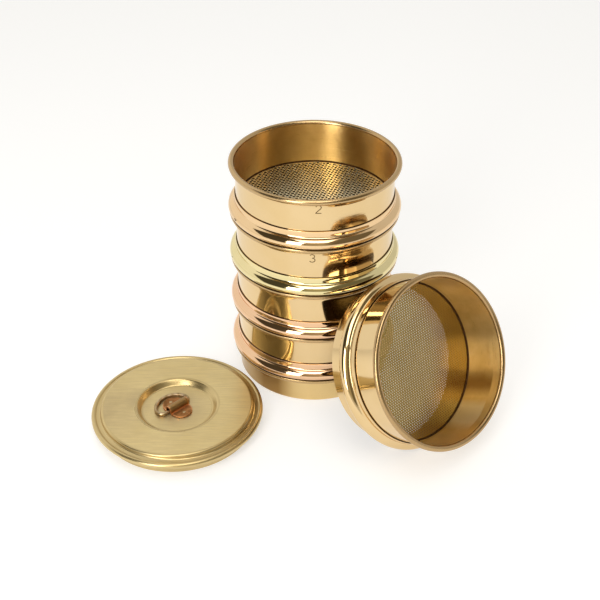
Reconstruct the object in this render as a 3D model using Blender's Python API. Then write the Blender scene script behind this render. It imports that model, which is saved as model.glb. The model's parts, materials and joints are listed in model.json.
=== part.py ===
"""Set of four nested brass soil sieves on a receiver pan, with its lid and a fifth, loose sieve.

Lengths in the tables are millimetres, turned into metres when a mesh is made. The stack stands on
the floor at the origin, +Z up. The lid lies beside it and the loose sieve leans towards it.
"""

from math import cos, pi, radians, sin, sqrt

import bmesh
import bpy
from mathutils import Matrix, Vector

MM = 0.001
SEGMENTS = 36  # facets round every ring, lined up so that the gaps between rings hold
TUBE_SIDES = 8

# one sieve, in heights measured up from the centre of its rolled rim
PITCH = 33.9  # from one sieve of the stack to the next
WALL_OUT = 51.0
WALL_IN = 50.4
ROLL_CENTRE = 53.14  # radius of the circle the rolled rim follows
ROLL_R = 1.9
WALL_FOOT = -27.3
SCREEN_TOP = -27.6
SCREEN_BOTTOM = -28.4
SCREEN_R = 50.9
BEAD_Z = -29.9
BEAD_CENTRE = 52.15
BEAD_HALF_WIDTH = 3.6
BEAD_RISE = 3.6  # from the widest line of the bead up to its crown
BEAD_DROP = 3.0  # the same, downwards
COLLAR_OUT = 51.9
COLLAR_IN = 51.3
COLLAR_RISE = 8.7  # above the middle of the bead
SEAT_DROP = 1.8  # the flat under the bead, which stands on the next rim
SKIRT_OUT = 50.05
SKIRT_IN = 49.4
SKIRT_DROP = 15.0
LEDGE_RISE = 1.2
SEAM_OUT = 50.1
SEAM_IN = 49.2
SEAM_RISE = 1.1

# receiver pan
PAN_RIM_Z = 19.0
PAN_CORNER = 2.5
PAN_FLOOR = 0.8

# lid, in heights above the floor that it lies on
LID_PLACE = Vector((-88.5, -70.5, 0.0))
RECESS_Z = 9.2
RECESS_R = 23.4
RECESS_MOUTH_R = 26.4
PLATEAU_Z = 12.8
PLATEAU_R = 49.0
SHEET = 0.8
LID_ROLL_Z = 8.5
LID_ROLL_CENTRE = 53.85
LID_SEAT_Z = 6.7
PLUG_OUT = 50.4
PLUG_IN = 49.4
PLUG_TOP = 8.9

# handle: strap, ring and rivets, along the strap (s) and along the bar of the ring (d)
HANDLE_TURN = radians(45)  # direction of the bar, from +X
STRAP_BOTTOM = 9.5
STRAP_THICK = 0.9
STRAP_HALF_WIDTH = 7.5
LOBE_CENTRE = 3.7
LOBE_R = 7.3
TUNNEL_R = 2.05  # middle of the sheet, round the bar
WIRE_R = 1.2
BAR_Z = 10.7
BAR_HALF = 8.5
RING_CORNER = 3.3
RING_HALF_WIDTH = 11.8
RING_DEPTH = 12.9
RING_SHIFT = -1.2  # the ring sits to one side in the strap
RIVET_S = 6.8
RIVET_R = 1.1
RIVET_HOLE_R = 1.4
RIVET_HEAD_R = 1.8
RIVET_TOP = 10.6
RIVET_HEAD_TOP = 8.1
RIVET_BOTTOM = 7.5

# loose sieve: centre of its rim, and where its mouth points
LOOSE_PLACE = Vector((78.5, -90.5, 65.6))
LOOSE_AZIMUTH = radians(-45.5)
LOOSE_ELEVATION = radians(29.1)

GOLD = (0.86, 0.62, 0.30, 1)
PINK_GOLD = (0.85, 0.55, 0.33, 1)
GREEN_GOLD = (0.74, 0.63, 0.30, 1)
COPPER_GOLD = (0.86, 0.55, 0.36, 1)
SCREEN_GOLD = (0.62, 0.45, 0.17, 1)
SOLDER_GREY = (0.45, 0.33, 0.20, 1)
SATIN_GOLD = (0.72, 0.57, 0.33, 1)
COPPER = (0.62, 0.30, 0.17, 1)
RING_COPPER = (0.60, 0.38, 0.24, 1)


def clear_scene():
    for obj in list(bpy.data.objects):
        bpy.data.objects.remove(obj)


def make_material(name, colour, roughness):
    material = bpy.data.materials.new(name)
    material.use_nodes = True
    shader = material.node_tree.nodes["Principled BSDF"]
    shader.inputs["Base Color"].default_value = colour
    shader.inputs["Metallic"].default_value = 1.0
    shader.inputs["Roughness"].default_value = roughness
    return material


def make_object(name, verts, faces, place, colour, roughness):
    """An object with its origin at place, a matrix in millimetres."""
    mesh = bpy.data.meshes.new(name)
    mesh.from_pydata([Vector(v) * MM for v in verts], [], faces)
    solid = bmesh.new()
    solid.from_mesh(mesh)
    bmesh.ops.recalc_face_normals(solid, faces=solid.faces)
    solid.to_mesh(mesh)
    solid.free()
    mesh.materials.append(make_material(name, colour, roughness))
    obj = bpy.data.objects.new(name, mesh)
    rotation = place.to_3x3().to_4x4()
    obj.matrix_world = Matrix.Translation(place.translation * MM) @ rotation
    bpy.context.scene.collection.objects.link(obj)
    return obj


def revolve(profile):
    """A closed (radius, height) outline turned about Z. A point with radius 0 is a single vertex."""
    verts = []
    rows = []
    for radius, height in profile:
        if radius == 0:
            rows.append([len(verts)] * SEGMENTS)
            verts.append((0, 0, height))
            continue
        rows.append(list(range(len(verts), len(verts) + SEGMENTS)))
        for k in range(SEGMENTS):
            turn = 2 * pi * k / SEGMENTS
            verts.append((radius * cos(turn), radius * sin(turn), height))
    faces = []
    for i, row in enumerate(rows):
        after = rows[(i + 1) % len(rows)]
        for k in range(SEGMENTS):
            m = (k + 1) % SEGMENTS
            corners = [row[k], row[m], after[m], after[k]]
            face = list(dict.fromkeys(corners))
            if len(face) > 2:
                faces.append(face)
    return verts, faces


def arc(centre, half_width, half_height, angles):
    return [(centre[0] + half_width * cos(radians(a)), centre[1] + half_height * sin(radians(a)))
            for a in angles]


def turned(name, profile, place, colour, roughness):
    verts, faces = revolve(profile)
    return make_object(name, verts, faces, place, colour, roughness)


def frame_profile():
    """Thin wall that flares into the rolled rim."""
    return [
        (WALL_IN, WALL_FOOT), (WALL_IN, -7.5), (WALL_IN + 0.55, -2.5),
        *arc((ROLL_CENTRE, 0), ROLL_R, ROLL_R, (180, 135, 90, 45, 0, -45, -90)),
        (WALL_OUT + 0.6, -2.6), (WALL_OUT, -7), (WALL_OUT, WALL_FOOT),
    ]


def bead_profile():
    """Collar outside the wall, half-round bead, flat seat, and the skirt that nests below."""
    seat_angle = -36.87
    return [
        (COLLAR_IN, BEAD_Z + COLLAR_RISE), (COLLAR_OUT, BEAD_Z + COLLAR_RISE),
        (COLLAR_OUT, BEAD_Z + BEAD_RISE),
        *arc((BEAD_CENTRE, BEAD_Z), BEAD_HALF_WIDTH, BEAD_RISE, (80, 54, 27, 0)),
        *arc((BEAD_CENTRE, BEAD_Z), BEAD_HALF_WIDTH, BEAD_DROP, (seat_angle,)),
        (SKIRT_OUT, BEAD_Z - SEAT_DROP), (SKIRT_OUT, BEAD_Z - SKIRT_DROP),
        (SKIRT_IN, BEAD_Z - SKIRT_DROP), (SKIRT_IN, BEAD_Z + LEDGE_RISE),
        (COLLAR_IN, BEAD_Z + LEDGE_RISE),
    ]


def screen_profile():
    return [(0, SCREEN_BOTTOM), (SCREEN_R, SCREEN_BOTTOM), (SCREEN_R, SCREEN_TOP), (0, SCREEN_TOP)]


def seam_profile():
    foot = SCREEN_TOP + 0.3
    return [(SEAM_IN, foot), (SEAM_OUT, foot), (SEAM_OUT, foot + SEAM_RISE)]


def pan_profile():
    rim = PAN_RIM_Z
    return [
        (0, 0), (WALL_OUT - PAN_CORNER, 0), (WALL_OUT - 0.73, 0.73), (WALL_OUT, PAN_CORNER),
        (WALL_OUT, rim - 7), (WALL_OUT + 0.6, rim - 2.6),
        *arc((ROLL_CENTRE, rim), ROLL_R, ROLL_R, (-90, -45, 0, 45, 90, 135, 180)),
        (WALL_IN + 0.55, rim - 2.5), (WALL_IN, rim - 7.5), (WALL_IN, 2.9),
        (WALL_IN - 2.1, PAN_FLOOR), (0, PAN_FLOOR),
    ]


def lid_profile():
    """Spun plate: dished middle, raised ring, step and rolled edge with a flat seat."""
    return [
        (0, RECESS_Z), (RECESS_R, RECESS_Z), (RECESS_MOUTH_R, PLATEAU_Z),
        (PLATEAU_R - 0.7, PLATEAU_Z), (PLATEAU_R + 0.3, PLATEAU_Z - 0.6),
        (PLATEAU_R + 0.9, PLATEAU_Z - 2.4), (PLATEAU_R + 2.6, PLATEAU_Z - 2.8),
        *arc((LID_ROLL_CENTRE, LID_ROLL_Z), ROLL_R, ROLL_R, (120, 90, 45, 0, -45)),
        (LID_ROLL_CENTRE + 0.5, LID_SEAT_Z), (PLATEAU_R + 2.6, LID_SEAT_Z),
        (PLATEAU_R + 2.6, PLATEAU_Z - 3.7), (PLATEAU_R + 0.2, PLATEAU_Z - 3.2),
        (PLATEAU_R - 0.4, PLATEAU_Z - SHEET), (RECESS_MOUTH_R - 0.4, PLATEAU_Z - SHEET),
        (RECESS_R - 0.4, RECESS_Z - SHEET), (0, RECESS_Z - SHEET),
    ]


def plug_profile():
    return [(PLUG_IN, 0), (PLUG_OUT, 0), (PLUG_OUT, PLUG_TOP), (PLUG_IN, PLUG_TOP)]


def rivet_profile():
    return [
        (0, RIVET_BOTTOM), (RIVET_HEAD_R, RIVET_BOTTOM), (RIVET_HEAD_R, RIVET_HEAD_TOP),
        (RIVET_R, RIVET_HEAD_TOP), (RIVET_R, RIVET_TOP), (0, RIVET_TOP),
    ]


def build_sieve(prefix, place, bead_colour):
    """The four pieces of one sieve."""
    turned(prefix + "_frame", frame_profile(), place, GOLD, 0.12)
    turned(prefix + "_bead_ring", bead_profile(), place, bead_colour, 0.12)
    turned(prefix + "_screen", screen_profile(), place, SCREEN_GOLD, 0.35)
    turned(prefix + "_solder_seam", seam_profile(), place, SOLDER_GREY, 0.45)


def stack_place(level):
    """Where the rim of a sieve is: level 0 is the pan, 1 the sieve that stands in it."""
    return Matrix.Translation((0, 0, PAN_RIM_Z + level * PITCH))


def loose_place():
    mouth = Vector((cos(LOOSE_ELEVATION) * cos(LOOSE_AZIMUTH),
                    cos(LOOSE_ELEVATION) * sin(LOOSE_AZIMUTH), sin(LOOSE_ELEVATION)))
    return Matrix.Translation(LOOSE_PLACE) @ mouth.to_track_quat("Z", "Y").to_matrix().to_4x4()


def handle_place():
    """Local X runs along the strap away from the lying ring, local Y along the bar."""
    return Matrix.Translation(LID_PLACE) @ Matrix.Rotation(HANDLE_TURN - pi / 2, 4, "Z")


def lobe_half_width(s):
    reach = abs(s) - LOBE_CENTRE
    if reach <= 0:
        return STRAP_HALF_WIDTH
    return min(STRAP_HALF_WIDTH, sqrt(max(LOBE_R ** 2 - reach ** 2, 1.0)))


def strap_line():
    """Points (s, z) along the middle of the strap's sheet, from one lobe over the bar to the other."""
    flat = STRAP_BOTTOM + STRAP_THICK / 2
    lobe = [(s, flat) for s in (10.95, 10.5, 9.6, 8.3, 6.8, 5.2, 3.7, 2.9)]
    rise = [(TUNNEL_R + 0.18, flat + 0.17)]
    over = [(TUNNEL_R * cos(pi * k / 8), BAR_Z + TUNNEL_R * sin(pi * k / 8)) for k in range(9)]
    left = [(-s, z) for s, z in reversed(lobe + rise)]
    return lobe + rise + over + left


def strap_mesh():
    line = [Vector((s, z)) for s, z in strap_line()]
    verts = []
    faces = []
    for i, point in enumerate(line):
        before = line[max(i - 1, 0)]
        after = line[min(i + 1, len(line) - 1)]
        along = (after - before).normalized()
        offset = Vector((-along.y, along.x)) * (STRAP_THICK / 2)
        half = lobe_half_width(point.x)
        for side, edge in ((-1, 1), (1, 1), (1, -1), (-1, -1)):
            at = point + offset * side
            verts.append((at.x, half * edge, at.y))
    for i in range(len(line) - 1):
        a = 4 * i
        for k in range(4):
            m = (k + 1) % 4
            faces.append([a + k, a + m, a + 4 + m, a + 4 + k])
    last = 4 * (len(line) - 1)
    faces.append([3, 2, 1, 0])
    faces.append([last, last + 1, last + 2, last + 3])
    return verts, faces


def ring_line():
    """Points (s, d) along the middle of the ring's wire, relative to the bar."""
    corner_s = -RING_CORNER
    corner = [(corner_s + RING_CORNER * sin(radians(a)), BAR_HALF + RING_CORNER * cos(radians(a)))
              for a in (90, 60, 30)]
    loop = [(corner_s - (RING_DEPTH - RING_CORNER) * sin(radians(a)), RING_HALF_WIDTH * cos(radians(a)))
            for a in range(0, 181, 15)]
    mirrored = [(s, -d) for s, d in reversed(corner)]
    return corner + loop + mirrored


def tube_mesh(line, radius):
    """Closed tube of wire round a flat loop."""
    points = [Vector((s, d, 0)) for s, d in line]
    verts = []
    faces = []
    count = len(points)
    for i, point in enumerate(points):
        along = (points[(i + 1) % count] - points[i - 1]).normalized()
        side = Vector((along.y, -along.x, 0))
        for k in range(TUBE_SIDES):
            turn = 2 * pi * (k + 0.5) / TUBE_SIDES
            verts.append(point + side * radius * cos(turn) + Vector((0, 0, radius * sin(turn))))
    for i in range(count):
        a = i * TUBE_SIDES
        b = (i + 1) % count * TUBE_SIDES
        for k in range(TUBE_SIDES):
            m = (k + 1) % TUBE_SIDES
            faces.append([a + k, a + m, b + m, b + k])
    return verts, faces


def drill(target, place):
    """Cuts a rivet hole right through the target."""
    outline = [(0, 5.0), (RIVET_HOLE_R, 5.0), (RIVET_HOLE_R, 16.0), (0, 16.0)]
    cutter = turned(target.name + "_hole_cutter", outline, place, GOLD, 0.5)
    cutter.hide_render = True
    cutter.display_type = "WIRE"
    cut = target.modifiers.new("rivet_hole", "BOOLEAN")
    cut.operation = "DIFFERENCE"
    cut.solver = "EXACT"
    cut.object = cutter


def build_lid():
    place = Matrix.Translation(LID_PLACE)
    plate = turned("lid_plate", lid_profile(), place, SATIN_GOLD, 0.3)
    turned("lid_plug_ring", plug_profile(), place, SATIN_GOLD, 0.3)
    handle = handle_place()
    verts, faces = strap_mesh()
    strap = make_object("ring_strap", verts, faces, handle, COPPER, 0.35)
    verts, faces = tube_mesh(ring_line(), WIRE_R)
    bar = handle @ Matrix.Translation((0, RING_SHIFT, BAR_Z))
    make_object("d_ring", verts, faces, bar, RING_COPPER, 0.3)
    for name, s in (("strap_rivet_left", -RIVET_S), ("strap_rivet_right", RIVET_S)):
        at = handle @ Matrix.Translation((s, 0, 0))
        turned(name, rivet_profile(), at, GOLD, 0.25)
        drill(plate, at)
        drill(strap, at)


def build():
    clear_scene()
    turned("pan_body", pan_profile(), Matrix.Identity(4), GOLD, 0.15)
    colours = {1: PINK_GOLD, 2: GREEN_GOLD, 3: COPPER_GOLD, 4: COPPER_GOLD}
    for number, colour in colours.items():
        build_sieve(f"sieve_{number}", stack_place(5 - number), colour)
    build_sieve("loose_sieve", loose_place(), GOLD)
    build_lid()


build()
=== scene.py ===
"""Looks of the soil sieve set: four nested brass sieves on a pan, a lid and a loose sieve.

Every piece is built in millimetres in its own local frame, with the sieve's axis along Z and the
centre of its rolled rim at the origin, and is then moved to its place in the frame in metres.
"""

import json
from math import cos, pi, radians, sin, sqrt

import bmesh
import bpy
import numpy as np
from mathutils import Matrix, Vector


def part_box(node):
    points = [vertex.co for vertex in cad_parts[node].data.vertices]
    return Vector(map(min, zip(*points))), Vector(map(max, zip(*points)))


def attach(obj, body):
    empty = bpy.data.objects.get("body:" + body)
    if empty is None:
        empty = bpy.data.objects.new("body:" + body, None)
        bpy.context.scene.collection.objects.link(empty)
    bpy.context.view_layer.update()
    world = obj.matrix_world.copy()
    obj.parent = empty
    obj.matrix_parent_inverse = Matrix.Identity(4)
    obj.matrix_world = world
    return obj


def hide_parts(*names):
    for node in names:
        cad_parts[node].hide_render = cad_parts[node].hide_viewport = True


MM = 0.001
ROUND = 288  # facets round the big rings
SHARP = radians(38)  # edges steeper than this stay sharp
BRUSH_R = 50  # the radius that the UVs round the axis are unrolled at
REFLECTION_PATCH_DEPTH = 0.25  # a painted reflection patch reaches points whose radius is this near to its own

# the grime and shade layer, from 0 for clean metal to 1 for black: tarnish, and painted shade in
# gaps and crevices
RIM_TARNISH = 0.44
LOOSE_TARNISH = 0.50
LID_TARNISH = 0.2
GAP_SHADE_AND_GRIME = 1.0  # painted shade and grime where two pieces touch

# one sieve, in heights from the centre of its rolled rim, as in the CAD model
WALL_OUT = 51.0
WALL_IN = 50.4
WALL_FOOT = -27.3
ROLL_CENTRE = 53.14
ROLL_R = 1.9
BEAD_Z = -29.9
BEAD_OUT = 55.75
SWELL_WIDTH = 5.2  # half axes of the ellipse above the widest line
SWELL_HEIGHT = 4.6
UNDER_WIDTH = 3.6  # and below it
UNDER_HEIGHT = 3.0
COLLAR_OUT = 51.9
COLLAR_IN = 51.06
COLLAR_TOP = -21.2
SEAT_Z = -31.7
SKIRT_OUT = 50.05
SKIRT_IN = 49.4
SKIRT_FOOT = -44.9
LEDGE_Z = -28.7
FLARE_TOP = -2.6  # the outside of the wall opens into the rim between these heights
FLARE_FOOT = -6.0
ROLL_POINTS = 44
ROLL_TOP = slice(12, 22)  # those of them that the sieve above rests on

# pan
PAN_RIM_Z = 19.0
PAN_FLOOR = 0.8

# screens
SCREEN_Z = -28.0
SCREEN_R = WALL_IN - 0.3
LIP_FLARE = 1.06  # how far the rounded lip of a punched hole spreads
LIP_DROP = 0.1  # and how deep it is
SLIVER = 0.02  # cells that reach no further than this into the disc are left out
WHOLE_EDGE = 0.6  # metal between the last holes and the rim of the sheet
EDGE_SHADE_WIDTH = 1.2  # width of the edge that is painted dark as shade where the sheet meets the wall

# stamped figures
FIGURE_WIDTH = 3.6
FIGURE_HEIGHT = 5.6
FIGURE_STROKE = 0.34  # half the width of a line
STROKE_SECTION = ((-1, -0.05), (-0.8, 0.05), (0.8, 0.05), (1, -0.05))  # share of the width, lift

# lid
RECESS_Z = 9.2
RECESS_R = 23.4
RECESS_MOUTH_R = 26.4
PLATEAU_Z = 12.8
PLATEAU_R = 49.0
SHEET = 0.8
LID_ROLL_Z = 8.5
LID_ROLL_CENTRE = 53.85
LID_SEAT_Z = 6.7
PLUG_OUT = 50.4
PLUG_IN = 49.4
PLUG_TOP = 8.9

# handle
HANDLE_TURN = radians(45)
STRAP_BOTTOM = 9.5
STRAP_THICK = 0.9
STRAP_HALF_WIDTH = 7.5
STRAP_COLUMNS = 14
STRAP_SHARP = radians(50)
STRAP_EDGE = 0.72  # share of the strap's thickness at its rounded edges
# bright on the strap's edges as wear, and along its folds as a painted highlight
STRAP_WEAR_AND_HIGHLIGHT = 0.9
STRAP_BRONZE = 0.8  # on top of the hoop, which is browner than the lobes
LOBE_CENTRE = 3.7
LOBE_R = 7.3
LOBE_TIP = 0.2  # keeps the tips of the lobes a little wide
FOLD_S = (2.0, 3.3)  # where the lobes turn up into the hoop
TUNNEL_R = 2.05
HOOP_RISE = 1.5  # straight part of the hoop above the ring's bar
RIVET_S = 6.8
RIVET_R = 1.1
RIVET_FOOT = 7.5
RIVET_FOOT_R = 1.8
RIVET_TOP = 10.63
RIVET_SIDES = 32
WIRE_R = 1.2
BAR_Z = 10.7
BAR_HALF = 8.5
RING_CORNER = 3.3
RING_HALF_WIDTH = 11.8
RING_DEPTH = 12.9
RING_SHIFT = -1.2
RING_SIDES = 16
# painted highlight on the top half of the ring's wire, uneven along it
RING_TOP_HIGHLIGHT = 0.25

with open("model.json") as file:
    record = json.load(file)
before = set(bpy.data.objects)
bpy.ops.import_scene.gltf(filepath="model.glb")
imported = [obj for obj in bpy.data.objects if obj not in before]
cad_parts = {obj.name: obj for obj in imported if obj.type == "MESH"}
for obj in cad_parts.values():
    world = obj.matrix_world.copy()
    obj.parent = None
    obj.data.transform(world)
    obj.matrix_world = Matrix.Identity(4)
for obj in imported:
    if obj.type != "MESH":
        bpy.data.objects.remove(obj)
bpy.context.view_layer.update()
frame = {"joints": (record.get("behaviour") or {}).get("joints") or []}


# ---------------------------------------------------------------- places


def middle(node):
    """The middle of a CAD node's box, in millimetres."""
    low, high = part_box(node)
    return (low + high) / 2 / MM


def stack_place(node):
    """The pan and the nested sieves stand upright, with the top of the rim where the CAD has it."""
    rim_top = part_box(node)[1].z / MM
    return Matrix.Translation((0, 0, rim_top - ROLL_R))


def loose_place():
    """The loose sieve lies back with its mouth along the axis of its joint."""
    mouth = Vector(next(j["axis"] for j in frame["joints"] if j["child"] == "loose_sieve"))
    rim = middle("loose_sieve_screen") - SCREEN_Z * mouth
    return Matrix.Translation(rim) @ mouth.to_track_quat("Z", "Y").to_matrix().to_4x4()


def lid_place():
    """The lid lies flat on the ground."""
    centre = middle("lid_plate")
    return Matrix.Translation((centre.x, centre.y, 0))


def handle_place():
    """The strap runs along local X, and the bar of the ring across it."""
    return lid_place() @ Matrix.Rotation(HANDLE_TURN - pi / 2, 4, "Z")


# ---------------------------------------------------------------- material nodes


class Nodes:
    """Short names for the nodes that the materials and the world use."""

    def __init__(self, node_tree):
        self.nodes = node_tree.nodes
        self.links = node_tree.links

    def put(self, socket, value):
        if isinstance(value, bpy.types.NodeSocket):
            self.links.new(value, socket)
        else:
            socket.default_value = value

    def math(self, operation, a, b=0.0, c=0.0):
        node = self.nodes.new("ShaderNodeMath")
        node.operation = operation
        for socket, value in zip(node.inputs, (a, b, c)):
            self.put(socket, value)
        return node.outputs[0]

    def span(self, value, low, high, to_low=0.0, to_high=1.0, ramp="LINEAR"):
        """The value's place between low and high, clamped, as a number from to_low to to_high."""
        node = self.nodes.new("ShaderNodeMapRange")
        node.interpolation_type = ramp
        for socket, number in zip(node.inputs, (value, low, high, to_low, to_high)):
            self.put(socket, number)
        return node.outputs[0]

    def mix(self, factor, a, b):
        node = self.nodes.new("ShaderNodeMix")
        node.data_type = "RGBA"
        self.put(node.inputs["Factor"], factor)
        self.put(node.inputs[6], a)
        self.put(node.inputs[7], b)
        return node.outputs[2]


class Tree(Nodes):
    """The nodes of one material, with patterns that follow the piece."""

    def __init__(self, name):
        self.material = bpy.data.materials.new(name)
        self.material.use_nodes = True
        super().__init__(self.material.node_tree)
        self.shader = self.nodes["Principled BSDF"]

    def local(self):
        """The point's place in its own piece, in millimetres."""
        node = self.nodes.new("ShaderNodeAttribute")
        node.attribute_name = "part_mm"
        return node.outputs["Vector"]

    def layer(self, name):
        """One of the numbers that the mesh holds for each point, such as its grime."""
        node = self.nodes.new("ShaderNodeAttribute")
        node.attribute_name = name
        return node.outputs["Fac"]

    def stretched(self, vector, scale):
        node = self.nodes.new("ShaderNodeMapping")
        node.inputs["Scale"].default_value = scale
        self.put(node.inputs["Vector"], vector)
        return node.outputs["Vector"]

    def noise(self, vector, scale, detail=3.0, roughness=0.5, distortion=0.0):
        node = self.nodes.new("ShaderNodeTexNoise")
        node.inputs["Scale"].default_value = scale
        node.inputs["Detail"].default_value = detail
        node.inputs["Roughness"].default_value = roughness
        node.inputs["Distortion"].default_value = distortion
        self.put(node.inputs["Vector"], vector)
        return node.outputs["Fac"]

    def bump(self, height, strength, distance):
        node = self.nodes.new("ShaderNodeBump")
        node.inputs["Strength"].default_value = strength
        node.inputs["Distance"].default_value = distance
        self.put(node.inputs["Height"], height)
        return node.outputs["Normal"]

    def near(self, vector, centre, reach):
        """1 at a point, falling to 0 at the given distance from it."""
        node = self.nodes.new("ShaderNodeVectorMath")
        node.operation = "DISTANCE"
        self.put(node.inputs[0], vector)
        self.put(node.inputs[1], centre)
        return self.span(node.outputs["Value"], 0.0, reach, 1.0, 0.0)

    def brush(self):
        """Draws the shine out across the brushing, which runs along U of the brush UVs."""
        tangent = self.nodes.new("ShaderNodeTangent")
        tangent.direction_type = "UV_MAP"
        tangent.uv_map = "brush"
        self.put(self.shader.inputs["Tangent"], tangent.outputs[0])

    def finish(self, **inputs):
        """Sets the shader's inputs, with _ for a space in a name, and gives the material."""
        for name, value in inputs.items():
            self.put(self.shader.inputs[name.replace("_", " ")], value)
        return self.material


def colour(red, green, blue):
    return (red, green, blue, 1)


# near black: grime, and painted shade in gaps, crevices and round the edge of the screens
BLACK_GRIME_AND_SHADE = colour(0.06, 0.028, 0.009)
TARNISH = colour(0.46, 0.30, 0.14)
# painted dark reflection: bands inside the loose sieve, and the lid's shadow reflected in the pan
PAINTED_DARK_REFLECTION = colour(0.32, 0.18, 0.055)
# painted highlight: bright bands inside the loose sieve
PAINTED_HIGHLIGHT = colour(0.98, 0.80, 0.48)
BRUSHED_DARK = colour(0.60, 0.46, 0.24)
# smudge, and painted shade on the lid
SMUDGE_AND_SHADE = colour(0.42, 0.31, 0.18)
BRONZED = colour(0.40, 0.27, 0.115)

# centre, reach and strength of the darker patches on the lid: a smudge left of the recess, and
# painted shade in the recess and over the left side
LID_SMUDGES_AND_SHADE = (((-27, 3, PLATEAU_Z), 15.0, 1.0), ((2, 0, RECESS_Z), 24.0, 1.0),
               ((-46, -8, PLATEAU_Z), 34.0, 0.7))


def polished(name, base, warm, roughness=0.055):
    """Mirror-polished brass with faint lathe lines, slow changes of tone, tarnish, painted shade in
    crevices and gaps, and painted dark reflections.
    """
    tree = Tree(name)
    at = tree.local()
    slow = tree.noise(at, 0.045, 3)
    lines = tree.noise(tree.stretched(at, (0.02, 0.02, 2.6)), 1.0, 4, 0.6)
    specks = tree.noise(at, 1.4, 4, 0.65)
    tone = tree.mix(tree.span(slow, 0.35, 0.65), base, warm)
    grime = tree.layer("grime")
    # dirt is tarnish, and painted shade where pieces touch
    dirt_and_shade = tree.span(tree.math("ADD", grime, tree.math("MULTIPLY", specks, 0.12)), 0.25, 0.85)
    tone = tree.mix(tree.span(dirt_and_shade, 0.0, 0.6), tone, TARNISH)
    tone = tree.mix(tree.span(dirt_and_shade, 0.5, 1.0), tone, BLACK_GRIME_AND_SHADE)
    # painted dark reflection, such as the lid's shadow in the pan
    tone = tree.mix(tree.layer("painted_reflection"), tone, PAINTED_DARK_REFLECTION)
    shine = tree.span(lines, 0.3, 0.7, roughness, roughness * 1.7)
    shine = tree.math("ADD", shine, tree.math("MULTIPLY", dirt_and_shade, 0.35))
    height = tree.math("ADD", lines, tree.math("MULTIPLY", slow, 3.0))
    normal = tree.bump(height, 0.06, 0.00006)
    return tree.finish(Base_Color=tone, Metallic=1.0, Roughness=shine, Normal=normal)


def turned_satin(name, base, dark, roughness=0.33):
    """Brass brushed round the axis, so that its shine is drawn out along the wall.

    The painted reflection layer paints dark reddish brown reflections on it, and below zero painted
    highlights.
    """
    tree = Tree(name)
    at = tree.local()
    slow = tree.noise(at, 0.05, 4, 0.6)
    lines = tree.noise(tree.stretched(at, (0.035, 0.035, 3.4)), 1.0, 5, 0.7)
    tone = tree.mix(tree.span(slow, 0.3, 0.7), base, dark)
    tone = tree.mix(tree.span(lines, 0.3, 0.7, 0.0, 0.45), tone, dark)
    grime = tree.layer("grime")
    # darker towards black where the layer paints shade in corners and gaps
    tone = tree.mix(tree.span(grime, 0.2, 0.9), tone, BLACK_GRIME_AND_SHADE)
    # painted dark reflections, painted highlights, and a little slow change of tone
    patches = tree.math("ADD", tree.layer("painted_reflection"), tree.span(slow, 0.3, 0.7, -0.12, 0.12))
    tone = tree.mix(tree.span(patches, 0.1, 1.0), tone, PAINTED_DARK_REFLECTION)
    tone = tree.mix(tree.span(patches, -0.15, -1.0), tone, PAINTED_HIGHLIGHT)
    shine = tree.span(lines, 0.3, 0.7, roughness * 0.8, roughness * 1.2)
    normal = tree.bump(lines, 0.4, 0.00008)
    tree.brush()
    return tree.finish(Base_Color=tone, Metallic=1.0, Roughness=shine, Normal=normal,
                       Anisotropic=0.95, Anisotropic_Rotation=0.25)


def brushed_plate(name, base, warm):
    """Brass sheet brushed straight along X."""
    tree = Tree(name)
    at = tree.local()
    slow = tree.noise(at, 0.035, 4, 0.6)
    lines = tree.noise(tree.stretched(at, (0.06, 2.4, 2.4)), 1.0, 5, 0.7)
    fine = tree.noise(tree.stretched(at, (0.15, 7.0, 7.0)), 1.0, 3, 0.6)
    tone = tree.mix(tree.span(slow, 0.35, 0.65), base, warm)
    tone = tree.mix(tree.span(lines, 0.38, 0.64, 0.0, 0.75), tone, BRUSHED_DARK)
    # a smudge, and painted shade in the recess and over the left side
    smudge_and_shade = 0.0
    for centre, reach, strength in LID_SMUDGES_AND_SHADE:
        spot = tree.math("MULTIPLY", tree.near(at, centre, reach), strength)
        smudge_and_shade = tree.math("MAXIMUM", smudge_and_shade, spot)
    smudge_and_shade = tree.math("MULTIPLY", smudge_and_shade, tree.span(slow, 0.2, 0.5, 0.4, 1.0))
    tone = tree.mix(tree.math("MULTIPLY", smudge_and_shade, 0.75), tone, SMUDGE_AND_SHADE)
    grime = tree.layer("grime")
    tone = tree.mix(tree.span(grime, 0.2, 0.9), tone, BLACK_GRIME_AND_SHADE)
    shine = tree.span(fine, 0.3, 0.7, 0.28, 0.42)
    height = tree.math("ADD", lines, tree.math("MULTIPLY", fine, 0.6))
    normal = tree.bump(height, 0.3, 0.0001)
    tree.brush()
    return tree.finish(Base_Color=tone, Metallic=1.0, Roughness=shine, Normal=normal,
                       Anisotropic=0.85, Anisotropic_Rotation=0.25)


def screen_sheet(name, base, warm, dark, roughness):
    """Punched sheet: satin brass with uneven tone, darker round the soldered edge as painted shade
    where it meets the wall.
    """
    tree = Tree(name)
    at = tree.local()
    slow = tree.noise(at, 0.06, 4, 0.6)
    fine = tree.noise(at, 2.6, 4, 0.65)
    tone = tree.mix(tree.span(slow, 0.35, 0.65), base, warm)
    tone = tree.mix(tree.span(fine, 0.35, 0.75, 0.0, 0.4), tone, dark)
    tone = tree.mix(tree.span(tree.layer("grime"), 0.2, 1.0), tone, BLACK_GRIME_AND_SHADE)
    shine = tree.span(fine, 0.3, 0.7, roughness * 0.8, roughness * 1.25)
    normal = tree.bump(fine, 0.2, 0.0001)
    return tree.finish(Base_Color=tone, Metallic=1.0, Roughness=shine, Normal=normal)


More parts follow.
